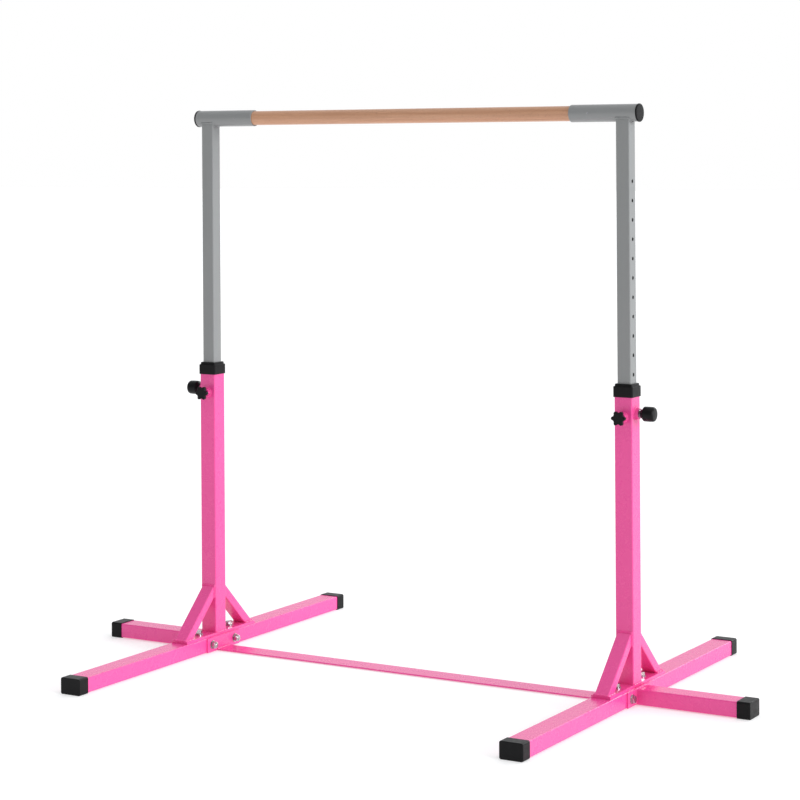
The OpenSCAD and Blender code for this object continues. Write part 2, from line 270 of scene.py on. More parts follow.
def square_wall(outlines):
    """Closed wall lofted through square outlines of (width, corner radius, height), back to the first."""
    bm = bmesh.new()
    loops = []
    for width, corner, height in outlines:
        known = set(bm.edges)
        carry = Matrix.Translation((0, 0, height)) @ Matrix.Rotation(pi / 4, 4, "Z")
        made = bmesh.ops.create_circle(bm, cap_ends=False, segments=4, radius=width / sqrt(2), matrix=carry)
        edges = [e for e in bm.edges if e not in known]
        bmesh.ops.bevel(
            bm, geom=made["verts"] + edges, offset=corner, offset_type="OFFSET", segments=8,
            profile=0.5, affect="VERTICES", material=-1)
        loops.append([e for e in bm.edges if e not in known])
    for one, other in zip(loops, loops[1:] + loops[:1]):
        bmesh.ops.bridge_loops(bm, edges=one + other)
    bmesh.ops.recalc_face_normals(bm, faces=bm.faces)
    return bm


def faces_at(bm, height):
    """Faces lying flat at a height."""
    return [f for f in bm.faces if all(abs(v.co.z - height) < FLAT for v in f.verts)]


def edges_at(bm, height):
    """Edges lying flat at a height."""
    return [e for e in bm.edges if all(abs(v.co.z - height) < FLAT for v in e.verts)]


def ease(bm, width, segments=2, sharper_than=55, edges=None):
    """Rounds the given edges, or every edge sharper than an angle."""
    limit = radians(sharper_than)
    chosen = edges or [e for e in bm.edges if e.is_manifold and e.calc_face_angle(0) > limit]
    bmesh.ops.bevel(
        bm, geom=chosen, offset=width, offset_type="OFFSET", segments=segments, profile=0.5,
        affect="EDGES", clamp_overlap=True, material=-1)


def helix(section, pitch, turns, steps=24):
    """Closed ridge or wire: a closed outline of (radius, height) points wound up the Z axis."""
    bm = bmesh.new()
    points = [bm.verts.new((radius, 0, height)) for radius, height in section]
    first = bm.faces.new(points)
    bmesh.ops.spin(
        bm, geom=[first], cent=(0, 0, 0), axis=UP, dvec=(0, 0, pitch / steps),
        angle=2 * pi * turns, steps=round(steps * turns), use_merge=False,
        use_normal_flip=False, use_duplicate=False)
    bmesh.ops.holes_fill(bm, edges=[e for e in bm.edges if e.is_boundary], sides=0)
    bmesh.ops.recalc_face_normals(bm, faces=bm.faces)
    return bm


def thread_section(core, radius, pitch):
    """Outline of a screw thread, with its foot sunk a little into the core."""
    foot = core - 0.1 * MM
    return [(foot, 0), (radius, 0.4 * pitch), (radius, 0.55 * pitch), (foot, 0.95 * pitch)]


def threaded(radius, pitch, low, high, plain_low, plain_high):
    """Rod between two heights, with a screw thread between two others."""
    core = radius - THREAD_DEPTH * pitch
    tip = 0.6 * MM
    bm = turned([
        (0, low), (core - tip, low), (core, low + tip),
        (core, high - tip), (core - tip, high), (0, high)], steps=32)
    ridge = helix(thread_section(core, radius, pitch), pitch, (plain_high - plain_low) / pitch - 1)
    add(bm, ridge, Matrix.Translation((0, 0, plain_low)))
    return bm


def hexagon(across, height, bore=0, both=False):
    """Hexagon head, or nut where it has a bore, with its corners turned off at 30 degrees."""
    corner = across / sqrt(3)
    face = across * 0.475
    drop = (corner - face) * tan(radians(30))
    foot = [(face, 0), (corner, drop)] if both else [(corner, 0)]
    outline = [(bore, 0)] + foot + [(corner, height - drop), (face, height), (bore, height)]
    bm = turned(outline, closed=bore > 0, steps=48)
    for k in range(6):
        flat = Vector((cos(radians(60 * k)), sin(radians(60 * k)), 0))
        cut = bmesh.ops.bisect_plane(
            bm, geom=bm.verts[:] + bm.edges[:] + bm.faces[:], dist=MERGE,
            plane_co=flat * across / 2, plane_no=flat, clear_outer=True)
        rim = [e for e in cut["geom_cut"] if isinstance(e, bmesh.types.BMEdge)]
        bmesh.ops.holes_fill(bm, edges=rim, sides=0)
    bmesh.ops.recalc_face_normals(bm, faces=bm.faces)
    return bm


def add(bm, part, place=Matrix()):
    """Adds a part to bm, carried to its place."""
    part.transform(place)
    shape = bpy.data.meshes.new("part")
    part.to_mesh(shape)
    part.free()
    bm.from_mesh(shape)
    bpy.data.meshes.remove(shape)


def carve(bm, cutter):
    """Cuts one closed shape out of another."""
    solids = []
    for part in (bm, cutter):
        shape = bpy.data.meshes.new("solid")
        part.to_mesh(shape)
        part.free()
        solids.append(bpy.data.objects.new("solid", shape))
        bpy.context.scene.collection.objects.link(solids[-1])
    cut = solids[0].modifiers.new("Cut", "BOOLEAN")
    cut.object = solids[1]
    cut.operation = "DIFFERENCE"
    cut.solver = "EXACT"
    carved = solids[0].evaluated_get(bpy.context.evaluated_depsgraph_get()).to_mesh()
    left = bmesh.new()
    left.from_mesh(carved)
    for solid in solids:
        shape = solid.data
        bpy.data.objects.remove(solid)
        bpy.data.meshes.remove(shape)
    return left


def cad_shape(node):
    """Copy of a CAD node's shape, with its flat faces whole again."""
    bm = bmesh.new()
    bm.from_mesh(frame["nodes"][node].data)
    bmesh.ops.remove_doubles(bm, verts=bm.verts, dist=MERGE)
    bmesh.ops.dissolve_limit(bm, angle_limit=radians(0.3), verts=bm.verts, edges=bm.edges)
    return bm


def piece(name, bm, slot, body, *nodes):
    """Object made from a finished mesh. It rides on a body and stands for the CAD nodes given."""
    for face in bm.faces:
        face.smooth = True
    for edge in bm.edges:
        edge.smooth = edge.calc_face_angle(0) < radians(SMOOTH_BELOW)
    mesh = bpy.data.meshes.new(name)
    bm.to_mesh(mesh)
    bm.free()
    mesh.materials.append(bpy.data.materials[FINISHES[slot]])
    made = bpy.data.objects.new(name, mesh)
    bpy.context.scene.collection.objects.link(made)
    made.modifiers.new("Even shading", "WEIGHTED_NORMAL").keep_sharp = True
    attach(made, body)
    if nodes:
        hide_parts(*nodes)
    return made


def stand_for(node, name, bm):
    """Finished piece with the place, body and finish of a CAD node."""
    return piece(name, bm, SLOT_OF[node], frame["nodes"][node]["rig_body"], node)


# ---------- Finishes ----------


class Finish:
    """A material being built: the surface is read in the object's own coordinates."""

    def __init__(self, slot):
        self.material = bpy.data.materials.new(FINISHES[slot])
        self.material.use_nodes = True
        self.tree = self.material.node_tree
        self.shader = self.tree.nodes["Principled BSDF"]
        self.place = self.node("ShaderNodeTexCoord").outputs["Object"]

    def join(self, value, socket):
        """Gives a socket its value: another node's socket, or a plain number or colour."""
        if isinstance(value, bpy.types.NodeSocket):
            self.tree.links.new(value, socket)
        else:
            socket.default_value = value

    def node(self, kind, inputs=None, **settings):
        """New node with its settings and inputs, which are numbers or other nodes' sockets."""
        made = self.tree.nodes.new(kind)
        for key, value in settings.items():
            setattr(made, key, value)
        for key, value in (inputs or {}).items():
            self.join(value, made.inputs[key])
        return made

    def noise(self, scale, detail=2, stretch=(1, 1, 1), distortion=0):
        """Noise of so many features a metre, stretched where a factor is below one."""
        where = self.place
        if stretch != (1, 1, 1):
            where = self.node("ShaderNodeMapping", {"Vector": self.place, "Scale": stretch}).outputs[0]
        made = self.node("ShaderNodeTexNoise", {
            "Vector": where, "Scale": scale, "Detail": detail, "Distortion": distortion})
        return made.outputs["Fac"]

    def between(self, value, low, high, to_low, to_high):
        """Value carried from one range to another, held at the ends."""
        made = self.node("ShaderNodeMapRange", {
            "Value": value, "From Min": low, "From Max": high, "To Min": to_low, "To Max": to_high})
        return made.outputs["Result"]

    def sum(self, one, other):
        """Two values added together."""
        return self.node("ShaderNodeMath", {0: one, 1: other}, operation="ADD").outputs[0]

    def mix(self, share, one, other):
        """Colour between two colours."""
        one, other = (
            value if isinstance(value, bpy.types.NodeSocket) else (*value, 1) for value in (one, other))
        made = self.node("ShaderNodeMix", {0: share, 6: one, 7: other}, data_type="RGBA")
        return made.outputs[2]

    def bump(self, height, strength, distance, below=None):
        """Raised relief, on top of another where one is given."""
        inputs = {"Height": height, "Strength": strength, "Distance": distance}
        if below:
            inputs["Normal"] = below
        return self.node("ShaderNodeBump", inputs).outputs["Normal"]

    def set(self, **inputs):
        """Sets the shader's sockets: numbers directly, other sockets by a link."""
        for key, value in inputs.items():
            self.join(value, self.shader.inputs[key.replace("_", " ")])


def scaled(colour, factor):
    """Colour made lighter or darker, held at full strength."""
    return tuple(min(1, channel * factor) for channel in colour)


def powder_coat(slot, colour, roughness):
    """Baked powder paint: a faint orange peel, a fine speckle and slightly uneven gloss."""
    finish = Finish(slot)
    cloudy = finish.noise(7, 3)
    speckle = finish.noise(900, 2)
    tone = finish.mix(finish.between(cloudy, 0.3, 0.7, 0, 1), scaled(colour, 0.985), scaled(colour, 1.015))
    tone = finish.mix(finish.between(speckle, 0.45, 0.75, 0, 0.1), tone, scaled(colour, 0.85))
    gloss = finish.between(finish.noise(22, 4), 0.3, 0.7, roughness - 0.012, roughness + 0.015)
    rubbed = finish.between(finish.noise(420, 3), 0.55, 0.75, 0, 0.03)
    peel = finish.bump(finish.noise(330, 2), 0.07, 0.22 * MM)
    peel = finish.bump(finish.noise(1500, 1), 0.05, 0.1 * MM, peel)
    finish.set(Base_Color=tone, Roughness=finish.sum(gloss, rubbed), Normal=peel, Coat_Weight=0.1,
               Coat_Roughness=0.12)


def moulded_plastic(slot, colour, roughness, grain):
    """Moulded black plastic: a fine grain, flow marks and light specks in the grain, painted in as painted
    highlights.
    """
    finish = Finish(slot)
    flow = finish.noise(45, 3, distortion=1.2)
    painted_highlight_specks = finish.noise(700, 4)
    tone = finish.mix(finish.between(flow, 0.35, 0.7, 0, 1), colour, scaled(colour, 1.4))
    # Painted highlights: light specks mixed into the colour, up to four times as light as the base black.
    tone = finish.mix(finish.between(painted_highlight_specks, 0.62, 0.8, 0, 0.12), tone, scaled(colour, 4))
    gloss = finish.between(finish.noise(90, 3), 0.3, 0.7, roughness - 0.06, roughness + 0.08)
    relief = finish.bump(finish.noise(1400, 2), grain, 0.12 * MM)
    relief = finish.bump(flow, 0.08, 0.6 * MM, relief)
    finish.set(Base_Color=tone, Roughness=gloss, Normal=relief, Specular_IOR_Level=0.16)


def zinc_plate(slot, colour):
    """Bright zinc plate with a faint yellow and blue bloom, dark bluish-purple patches painted in as painted
    reflection, and rolled micro scratches.
    """
    finish = Finish(slot)
    bloom = finish.noise(160, 3)
    tone = finish.mix(finish.between(bloom, 0.35, 0.65, 0, 1), colour, (0.56, 0.52, 0.46))
    # Painted reflection: dark bluish-purple patches mixed into the zinc colour, standing for the dim
    # surroundings reflected in the metal.
    painted_dark_reflection = finish.noise(420, 4)
    tone = finish.mix(finish.between(painted_dark_reflection, 0.5, 0.75, 0, 0.75), tone, (0.16, 0.16, 0.24))
    scratches = finish.noise(900, 3, stretch=(1, 0.08, 0.08))
    gloss = finish.between(scratches, 0.3, 0.7, 0.14, 0.3)
    relief = finish.bump(scratches, 0.12, 0.08 * MM)
    finish.set(Base_Color=tone, Roughness=gloss, Metallic=1.0, Normal=relief)


def varnished_beech(slot, pale, dark):
    """Beech dowel: long streaks, fine fibres and the short dark flecks of its rays."""
    finish = Finish(slot)
    streaks = finish.noise(110, 3, stretch=(0.02, 1, 1), distortion=0.3)
    fibres = finish.noise(650, 3, stretch=(0.03, 1, 1))
    flecks = finish.noise(900, 1, stretch=(0.16, 1, 1))
    boards = finish.noise(3, 2, stretch=(0.4, 1, 1))
    tone = finish.mix(finish.between(streaks, 0.32, 0.68, 0.05, 0.85), pale, dark)
    tone = finish.mix(finish.between(fibres, 0.35, 0.7, 0, 0.45), tone, scaled(dark, 0.85))
    tone = finish.mix(finish.between(flecks, 0.63, 0.7, 0, 0.55), tone, scaled(dark, 0.6))
    tone = finish.mix(finish.between(boards, 0.35, 0.65, 0, 0.3), tone, scaled(pale, 1.15))
    gloss = finish.between(fibres, 0.3, 0.7, 0.33, 0.5)
    relief = finish.bump(fibres, 0.2, 0.12 * MM)
    finish.set(Base_Color=tone, Roughness=gloss, Normal=relief, Coat_Weight=0.25, Coat_Roughness=0.3)


# ---------- Operators ----------


class TRAININGBAR_OT_finishes(bpy.types.Operator):
    """Mixes the paints, plastics, plating and wood"""

    bl_idname = "trainingbar.finishes"
    bl_label = "Mix the finishes"

    def execute(self, context):
        look = context.scene.training_bar_finishes
        powder_coat("pink_powder_coat", look.pink, look.paint_roughness)
        powder_coat("grey_powder_coat", look.grey, look.paint_roughness + 0.05)
        moulded_plastic("black_plastic", look.black, 0.4, 0.3)
        moulded_plastic("knob_plastic", look.black, 0.3, 0.12)
        zinc_plate("zinc_steel", look.zinc)
        varnished_beech("beech", look.pale_wood, look.dark_wood)
        return {"FINISHED"}


class TRAININGBAR_OT_tubes(bpy.types.Operator):
    """Paints the legs, uprights, stabilisers and braces, and eases the holes of the posts"""

    bl_idname = "trainingbar.tubes"
    bl_label = "Paint the tubes"

    def execute(self, context):
        details = context.scene.training_bar_details
        for side in SIDES:
            for part in ("leg", "upright", "stabiliser", "front_brace", "rear_brace"):
                node = f"{side}_{part}"
                frame["nodes"][node].data.materials[0] = bpy.data.materials[FINISHES[SLOT_OF[node]]]
            bm = cad_shape(f"{side}_post")
            ease(bm, details.hole_edge, 2)
            stand_for(f"{side}_post", f"{side}_sliding_post", bm)
        return {"FINISHED"}


class TRAININGBAR_OT_plates(bpy.types.Operator):
    """Makes the base plates, the bolted side plates and the floor crossbar with eased edges"""

    bl_idname = "trainingbar.plates"
    bl_label = "Make the plates"

    def execute(self, context):
        edge = context.scene.training_bar_details.plate_edge
        nodes = ["crossbar"]
        for side in SIDES:
            nodes += [f"{side}_base_plate", f"{side}_stabiliser_plate", f"{side}_crossbar_plate"]
        for node in nodes:
            bm = cad_shape(node)
            ease(bm, edge, 3)
            stand_for(node, f"{node}_flat_steel", bm)
        return {"FINISHED"}


class TRAININGBAR_OT_caps(bpy.types.Operator):
    """Makes the hollow end caps of the legs and stabilisers"""

    bl_idname = "trainingbar.caps"
    bl_label = "Make the end caps"

    def execute(self, context):
        edge = context.scene.training_bar_details.cap_edge
        for side, sign in SIDES.items():
            for part, out in (
                ("front_leg", FORWARDS), ("rear_leg", -FORWARDS), ("stabiliser", sign * RIGHT)):
                self.cap(f"{side}_{part}", out, edge)
        return {"FINISHED"}

    def cap(self, name, out, edge):
        low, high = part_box(f"{name}_cap")
        size = high - low
        length = abs(size.dot(out))
        width = size.x + size.y - length
        wall = 1.9 * MM
        corner = 5 * MM
        end = 4 * MM
        bm = prism(width, size.z, corner, length)
        ease(bm, edge, 5, edges=edges_at(bm, length))
        open_end = faces_at(bm, 0)
        bmesh.ops.inset_region(bm, faces=open_end, thickness=wall, use_even_offset=True)
        hollow = drawn_out(bm, open_end)
        bmesh.ops.delete(bm, geom=open_end, context="FACES_ONLY")
        bmesh.ops.translate(bm, vec=(0, 0, length - end), verts=hollow)
        bmesh.ops.recalc_face_normals(bm, faces=bm.faces)
        start = (low + high) / 2 - out * length / 2
        stand_for(f"{name}_cap", f"{name}_end_cap", self.faced(bm, start, out))

    def faced(self, bm, start, out):
        across = out.cross(UP)
        turn = Matrix((across, UP, out)).transposed().to_4x4()
        bm.transform(Matrix.Translation(start) @ turn)
        bmesh.ops.recalc_face_normals(bm, faces=bm.faces)
        return bm


class TRAININGBAR_OT_collars(bpy.types.Operator):
    """Makes the collars on the uprights and the guides under the posts"""

    bl_idname = "trainingbar.collars"
    bl_label = "Make the collars"

    def execute(self, context):
        for side in SIDES:
            low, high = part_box(f"{side}_collar")
            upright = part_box(f"{side}_upright")
            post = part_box(f"{side}_post")
            wide = high.x - low.x
            bore = upright[1].y - upright[0].y + 0.2 * MM
            opening = post[1].y - post[0].y + 0.6 * MM
            sleeve = bore - 3.4 * MM
            band = upright[1].z - 24.5 * MM
            band_top = band + 28 * MM
            lip = wide - 6 * MM
            soft = 0.9 * MM
            bm = square_wall([
                (wide - 2 * soft, 4.2 * MM, band), (wide, 5 * MM, band + soft),
                (wide, 5 * MM, band_top - 1.6 * MM), (wide - 0.9 * MM, 4.7 * MM, band_top - 0.5 * MM),
                (wide - 3 * MM, 4.4 * MM, band_top), (lip + 0.6 * MM, 4.6 * MM, band_top + 0.2 * MM),
                (lip, 4.6 * MM, band_top + 0.9 * MM), (lip - 0.6 * MM, 4.6 * MM, high.z - 1.6 * MM),
                (lip - 1.6 * MM, 4.4 * MM, high.z - 0.5 * MM), (lip - 3.6 * MM, 4 * MM, high.z),
                (opening + 2 * MM, 3.4 * MM, high.z), (opening, 3 * MM, high.z - 1 * MM),
                (opening, 3 * MM, low.z), (sleeve, 1.6 * MM, low.z),
                (sleeve, 1.6 * MM, upright[1].z), (bore, 3.1 * MM, upright[1].z), (bore, 3.1 * MM, band),
            ])
            bm.transform(Matrix.Translation((middle(f"{side}_collar").x, 0, 0)))
            stand_for(f"{side}_collar", f"{side}_post_collar", bm)
            guide = cad_shape(f"{side}_post_guide")
            ease(guide, 0.5 * MM, 2)
            stand_for(f"{side}_post_guide", f"{side}_post_slide_guide", guide)
        return {"FINISHED"}


class TRAININGBAR_OT_bosses(bpy.types.Operator):
    """Makes the bosses welded to the uprights"""

    bl_idname = "trainingbar.bosses"
    bl_label = "Make the bosses"

    def execute(self, context):
        for side, sign in SIDES.items():
            self.boss(f"{side}_pin_boss", sign * RIGHT)
            self.boss(f"{side}_clamp_boss", FORWARDS)
        return {"FINISHED"}

    def boss(self, node, out):
        low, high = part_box(node)
        length = abs((high - low).dot(out))
        outer = (high - low).z / 2 - 3 * MM
        low_end = (low + high) / 2 - out * length / 2
        bore = 4.1 * MM if "clamp" in node else 9.1 * MM
        soft = 0.8 * MM
        outline = [(bore, 0), (outer + 0.4 * MM, 0), (outer, 2 * MM)]
        outline += arc((outer - soft, length - soft), soft, 0, 90, 4)
        outline += [(bore + 0.5 * MM, length), (bore, length - 0.5 * MM)]
        bm = turned(outline, closed=True)
        bm.transform(standing(low_end, out))
        stand_for(node, f"{node}_turned", bm)


class TRAININGBAR_OT_welds(bpy.types.Operator):
    """Lays the weld beads along the joints of the stand and round the tops of the posts"""

    bl_idname = "trainingbar.welds"
    bl_label = "Lay the welds"

    def execute(self, context):
        for side, sign in SIDES.items():
            self.foot_welds(side)
            self.floor_welds(side, sign)
            self.boss_welds(side, sign)
            self.socket_weld(side)
        return {"FINISHED"}

    def foot_welds(self, side):
        """Beads round the upright's foot and round each brace's foot and top."""
        low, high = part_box(f"{side}_upright")
        paths = []
        for x in (low.x, high.x):
            paths.append([(x, low.y + TUBE_CORNER, low.z), (x, high.y - TUBE_CORNER, low.z)])
        for part in ("front_brace", "rear_brace"):
            node = f"{side}_{part}"
            foot = corners_at(node, 2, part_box(node)[0].z)
            rear = part == "rear_brace"
            outer, inner = (foot[1].y, foot[0].y) if rear else (foot[0].y, foot[1].y)
            x0, x1 = foot[0].x, foot[1].x
            z = foot[0].z
            paths.append([(x0, inner, z), (x0, outer, z), (x1, outer, z), (x1, inner, z)])
            wall = high.y if rear else low.y
            top = corners_at(node, 1, wall)
            paths.append([
                (x0, wall, top[0].z), (x0, wall, top[1].z), (x1, wall, top[1].z), (x1, wall, top[0].z)])
        self.beads(f"{side}_foot_welds", paths, "pink_powder_coat", "base")

    def floor_welds(self, side, sign):
        """Beads where the stabiliser and the crossbar meet their plates."""
        low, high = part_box(f"{side}_stabiliser")
        x = low.x if sign > 0 else high.x
        tube = rounded_path(high.y - low.y, high.z - low.z, TUBE_CORNER)
        half_height = (high.z - low.z) / 2
        over = [(a, b) for a, b in tube[-1:] + tube[:10] if b > 0]
        foot = -half_height + TUBE_CORNER
        over = [(over[0][0], foot)] + over + [(over[-1][0], foot)]
        centre = Vector((x, 0, (low.z + high.z) / 2))
        paths = [[centre + Vector((0, a, b)) for a, b in over]]
        bar_low, bar_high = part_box("crossbar")
        x = bar_high.x if sign > 0 else bar_low.x
        paths.append([(x, bar_low.y, bar_high.z), (x, bar_high.y, bar_high.z)])
        self.beads(f"{side}_floor_welds", paths, "pink_powder_coat", "base")

    def boss_welds(self, side, sign):
        """Beads round the feet of the bosses."""
        paths = []
        for node, out in ((f"{side}_pin_boss", sign * RIGHT), (f"{side}_clamp_boss", FORWARDS)):
            low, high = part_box(node)
            radius = (high.z - low.z) / 2 - 2.4 * MM
            start = (low + high) / 2 - out * abs((high - low).dot(out)) / 2
            place = standing(start, out)
            paths.append([place @ Vector((radius * cos(a), radius * sin(a), 0))
                          for a in (radians(6 * i) for i in range(61))])
        self.beads(f"{side}_boss_welds", paths, "pink_powder_coat", "base")

    def socket_weld(self, side):
        """Bead along the saddle where the post meets the round socket."""
        low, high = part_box(f"{side}_post")
        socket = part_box(f"{side}_socket")
        radius = (socket[1].z - socket[0].z) / 2
        axis = (socket[1].z + socket[0].z) / 2
        centre = (low.x + high.x) / 2
        path = [
            (centre + a, b, axis - sqrt(radius**2 - b**2))
            for a, b in rounded_path(high.x - low.x, high.y - low.y, TUBE_CORNER, 12)
        ]
        self.beads(f"{side}_socket_weld", [path], "grey_powder_coat", "bar_frame")

    def beads(self, name, paths, slot, body):
        """One mesh of rippled beads along the paths."""
        details = bpy.context.scene.training_bar_details
        step = details.bead_ripple / 4
        data = bpy.data.curves.new(name, "CURVE")
        data.dimensions = "3D"
        data.bevel_depth = details.bead
        data.bevel_resolution = 2
        data.use_fill_caps = True
        for path in paths:
            stations = walked([Vector(p) for p in path], step)
            spline = data.splines.new("POLY")
            spline.points.add(len(stations) - 1)
            for i, (point, place) in enumerate(zip(spline.points, stations)):
                point.co = (*place, 1)
                point.radius = 1 + 0.13 * sin(pi / 2 * i) + 0.1 * sin(0.37 * i + place.y * 40)
        line = bpy.data.objects.new(name, data)
        mesh = bpy.data.meshes.new_from_object(line)
        bpy.data.objects.remove(line)
        bpy.data.curves.remove(data)
        bm = bmesh.new()
        bm.from_mesh(mesh)
        bpy.data.meshes.remove(mesh)
        bmesh.ops.remove_doubles(bm, verts=bm.verts, dist=MERGE)
        bmesh.ops.recalc_face_normals(bm, faces=bm.faces)
        piece(name, bm, slot, body)


def rounded_path(width, height, corner, fine=1):
    """Closed path of (across, up) points round a rectangle with rounded corners."""
    a, b = width / 2 - corner, height / 2 - corner
    points = []
    for x, y, start in ((a, b, 0), (-a, b, 90), (-a, -b, 180), (a, -b, 270)):
        points += arc((x, y), corner, start, start + 90, 4)
    points.append(points[0])
    split = []
    for one, other in zip(points, points[1:]):
        for i in range(fine):
            split.append(tuple(p + (q - p) * i / fine for p, q in zip(one, other)))
    return split + [points[-1]]


def walked(points, step):
    """Points an even step apart along a path."""
    stations = [points[0]]
    spare = 0
    for one, other in zip(points, points[1:]):
        length = (other - one).length
        reach = step - spare
        while reach <= length:
            stations.append(one.lerp(other, reach / length))
            reach += step
        spare = length - (reach - step)
    return stations


class TRAININGBAR_OT_fasteners(bpy.types.Operator):
    """Makes the bolts, nuts and washers of the feet and side plates"""

    bl_idname = "trainingbar.fasteners"
    bl_label = "Make the fasteners"

    across = 18 * MM
    over_corners = 2 * across / sqrt(3)
    head = 7.5 * MM
    pitch = 1.75 * MM
    radius = 6 * MM
    washer = 2.5 * MM
    weld_nut = 10 * MM

    def execute(self, context):
        for side, sign in SIDES.items():
            self.bolts(f"{side}_foot_bolts", -UP, self.across)
            self.bolts(f"{side}_side_bolts", -sign * RIGHT, self.over_corners)
            self.nuts(side, sign)
            self.washers(side, sign)
        return {"FINISHED"}

    def bolt(self, length):
        """Bolt with its head's underside at height 0 and its shank above it."""
        bm = hexagon(self.across, self.head)
        bm.transform(Matrix.Rotation(pi, 4, "X"))
        ease(bm, 0.25 * MM, 1, 50)
        face, sink, lift = 8.3 * MM, -0.3 * MM, 0.02 * MM
        add(bm, turned([(0, sink), (face, sink), (face, lift), (0, lift)]))
        add(bm, threaded(self.radius, self.pitch, 0, length, length - 22 * MM, length - 0.4 * MM))
        return bm

    def bolts(self, node, shank, width):
        """Pair of bolts; width is the size of a head across the line between them."""
        low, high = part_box(node)
        length = abs((high - low).dot(shank)) - self.head
        half_gap = (high.y - low.y) / 2 - width / 2
        seat = (low + high) / 2 - shank * (length + self.head) / 2 + shank * self.head
        bm = bmesh.new()
        for y, twist in ((-half_gap, 0.3), (half_gap, 1.1)):
            place = standing(seat + Vector((0, y, 0)), shank)
            add(bm, self.bolt(length), place @ Matrix.Rotation(twist, 4, "Z"))
        stand_for(node, f"{node}_set", bm)

    def places(self, side):
        """Middle of the leg, and how far the foot bolts and the side bolts stand from it."""
        gaps = []
        for kind, width in (("foot", self.across), ("side", self.over_corners)):
            low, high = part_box(f"{side}_{kind}_bolts")
            gaps.append((high.y - low.y) / 2 - width / 2)
        return middle(f"{side}_leg"), *gaps

    def inner_face(self, side, sign):
        """X of the inner face of the plate at the crossbar's end."""
        low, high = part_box(f"{side}_crossbar_plate")
        return low.x if sign > 0 else high.x

    def nuts(self, side, sign):
        shape = bmesh.new()
        leg, foot, cross = self.places(side)
        bore = self.radius + 0.1 * MM
        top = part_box(f"{side}_leg")[1].z - TUBE_WALL
        for y in (-foot, foot):
            nut = hexagon(self.across, self.weld_nut, bore, both=True)
            add(shape, nut, Matrix.Translation((leg.x, y, top - self.weld_nut)))
        for y, twist in ((-cross, 0.15), (cross, 0.7)):
            seat = Vector((self.inner_face(side, sign) - sign * self.washer, y, leg.z))
            nut = self.lock_nut(bore)
            add(shape, nut, standing(seat, -sign * RIGHT) @ Matrix.Rotation(twist, 4, "Z"))
        stand_for(f"{side}_nuts", f"{side}_nut_set", shape)

    def lock_nut(self, bore):
        """Hexagon nut with the rolled collar that holds its locking ring."""
        nut = hexagon(self.across, 9.2 * MM, bore, both=True)
        wide, foot, shoulder, roll = 8.6 * MM, 8.6 * MM, 10.8 * MM, 1.2 * MM
        collar = turned(
            [(bore, foot), (wide, foot), (wide, shoulder)]
            + arc((wide - roll, shoulder), roll, 0, 90, 4)
            + [(6.7 * MM, 12 * MM), (6.7 * MM, 11 * MM), (bore, 11 * MM)], closed=True)
        add(nut, collar)
        return nut

    def washers(self, side, sign):
        bm = bmesh.new()
        leg, foot, cross = self.places(side)
        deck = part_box(f"{side}_base_plate")[1].z
        for y in (-foot, foot):
            add(bm, self.flat_washer(), Matrix.Translation((leg.x, y, deck)))
            seat = Matrix.Translation((leg.x, y, deck + self.washer + 0.05 * MM))
            add(bm, self.spring_washer(), seat @ Matrix.Rotation(y * 30, 4, "Z"))
        low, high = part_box(f"{side}_stabiliser_plate")
        outer_face = high.x if sign > 0 else low.x
        for y in (-cross, cross):
            add(bm, self.flat_washer(), standing((outer_face, y, leg.z), sign * RIGHT))
            inner = (self.inner_face(side, sign), y, leg.z)
            add(bm, self.flat_washer(), standing(inner, -sign * RIGHT))
        stand_for(f"{side}_washers", f"{side}_washer_set", bm)

    def flat_washer(self):
        return ring(12 * MM, 6.5 * MM, self.washer)

    def spring_washer(self):
        """Split ring whose ends stand a little apart."""
        inner, outer, thick, rise = 6.5 * MM, 10.5 * MM, 2.4 * MM, 0.6 * MM
        section = [(inner, 0), (outer, 0), (outer, thick), (inner, thick)]
        bm = helix(section, rise, 0.97, 64)
        ease(bm, 0.2 * MM, 1)
        return bm


